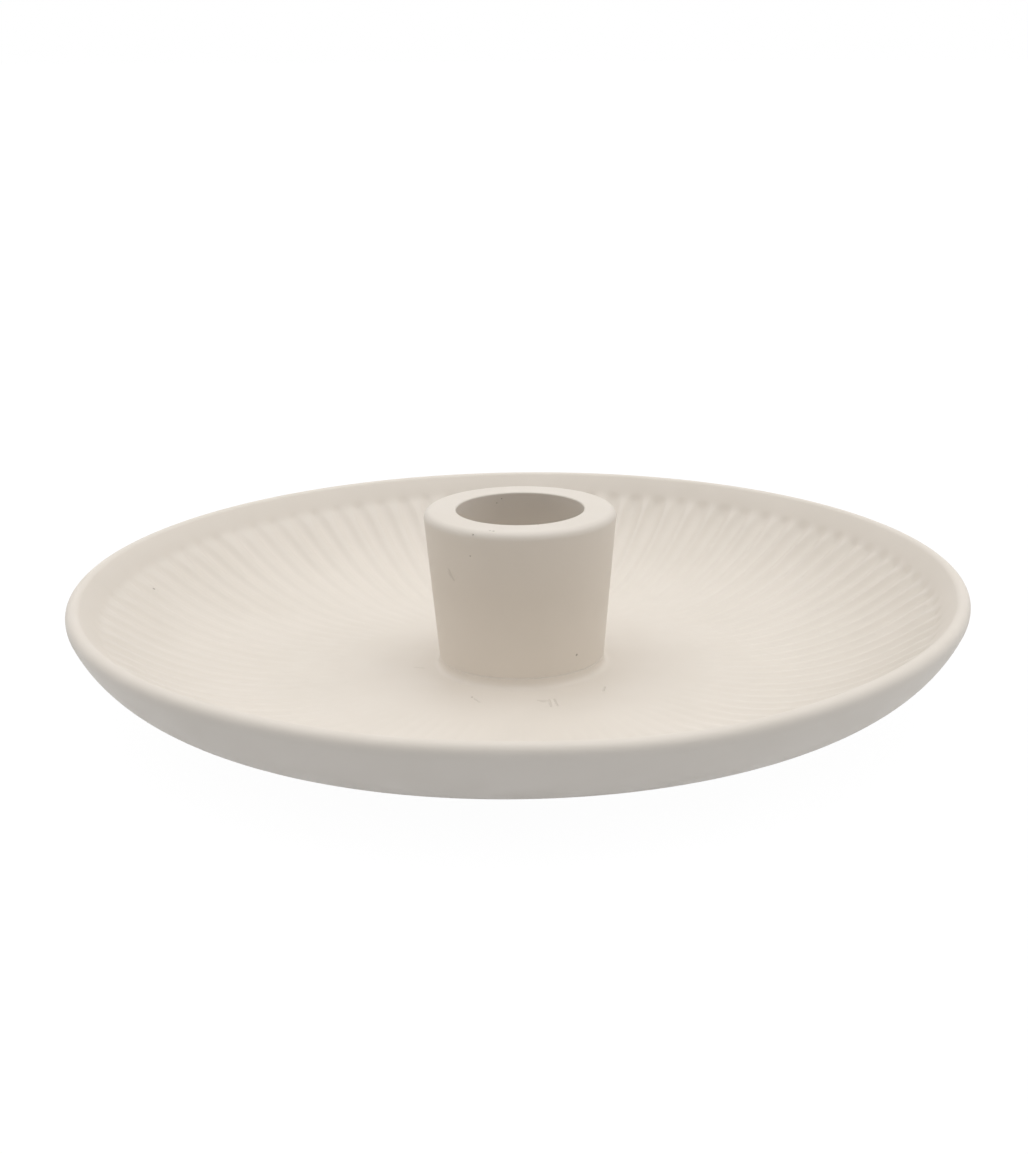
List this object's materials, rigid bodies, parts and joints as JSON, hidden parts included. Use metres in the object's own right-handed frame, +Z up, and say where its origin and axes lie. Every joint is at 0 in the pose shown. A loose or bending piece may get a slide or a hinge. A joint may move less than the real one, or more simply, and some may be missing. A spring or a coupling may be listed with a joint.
{
  "type": "candle plate",
  "caption": "Round matt ceramic dish with a smooth rolled lip, radial flutes on its inner wall and a tapered candle socket standing in the middle.",
  "frame": {"origin": "on the resting plane, under the middle of the dish", "axes": "+Z up along the axis of the dish and of the candle, out of the socket's mouth"},
  "size_m": [0.16, 0.16, 0.0347],
  "materials": {
    "matt_ceramic": "matt",
    "felt": "matt"
  },
  "bodies": {
    "root": {"candle_dish": "matt_ceramic", "candle_socket": "matt_ceramic", "slip_joint": "matt_ceramic", "felt_pad_1": "felt", "felt_pad_2": "felt", "felt_pad_3": "felt", "felt_pad_4": "felt"}
  },
  "joints": []
}
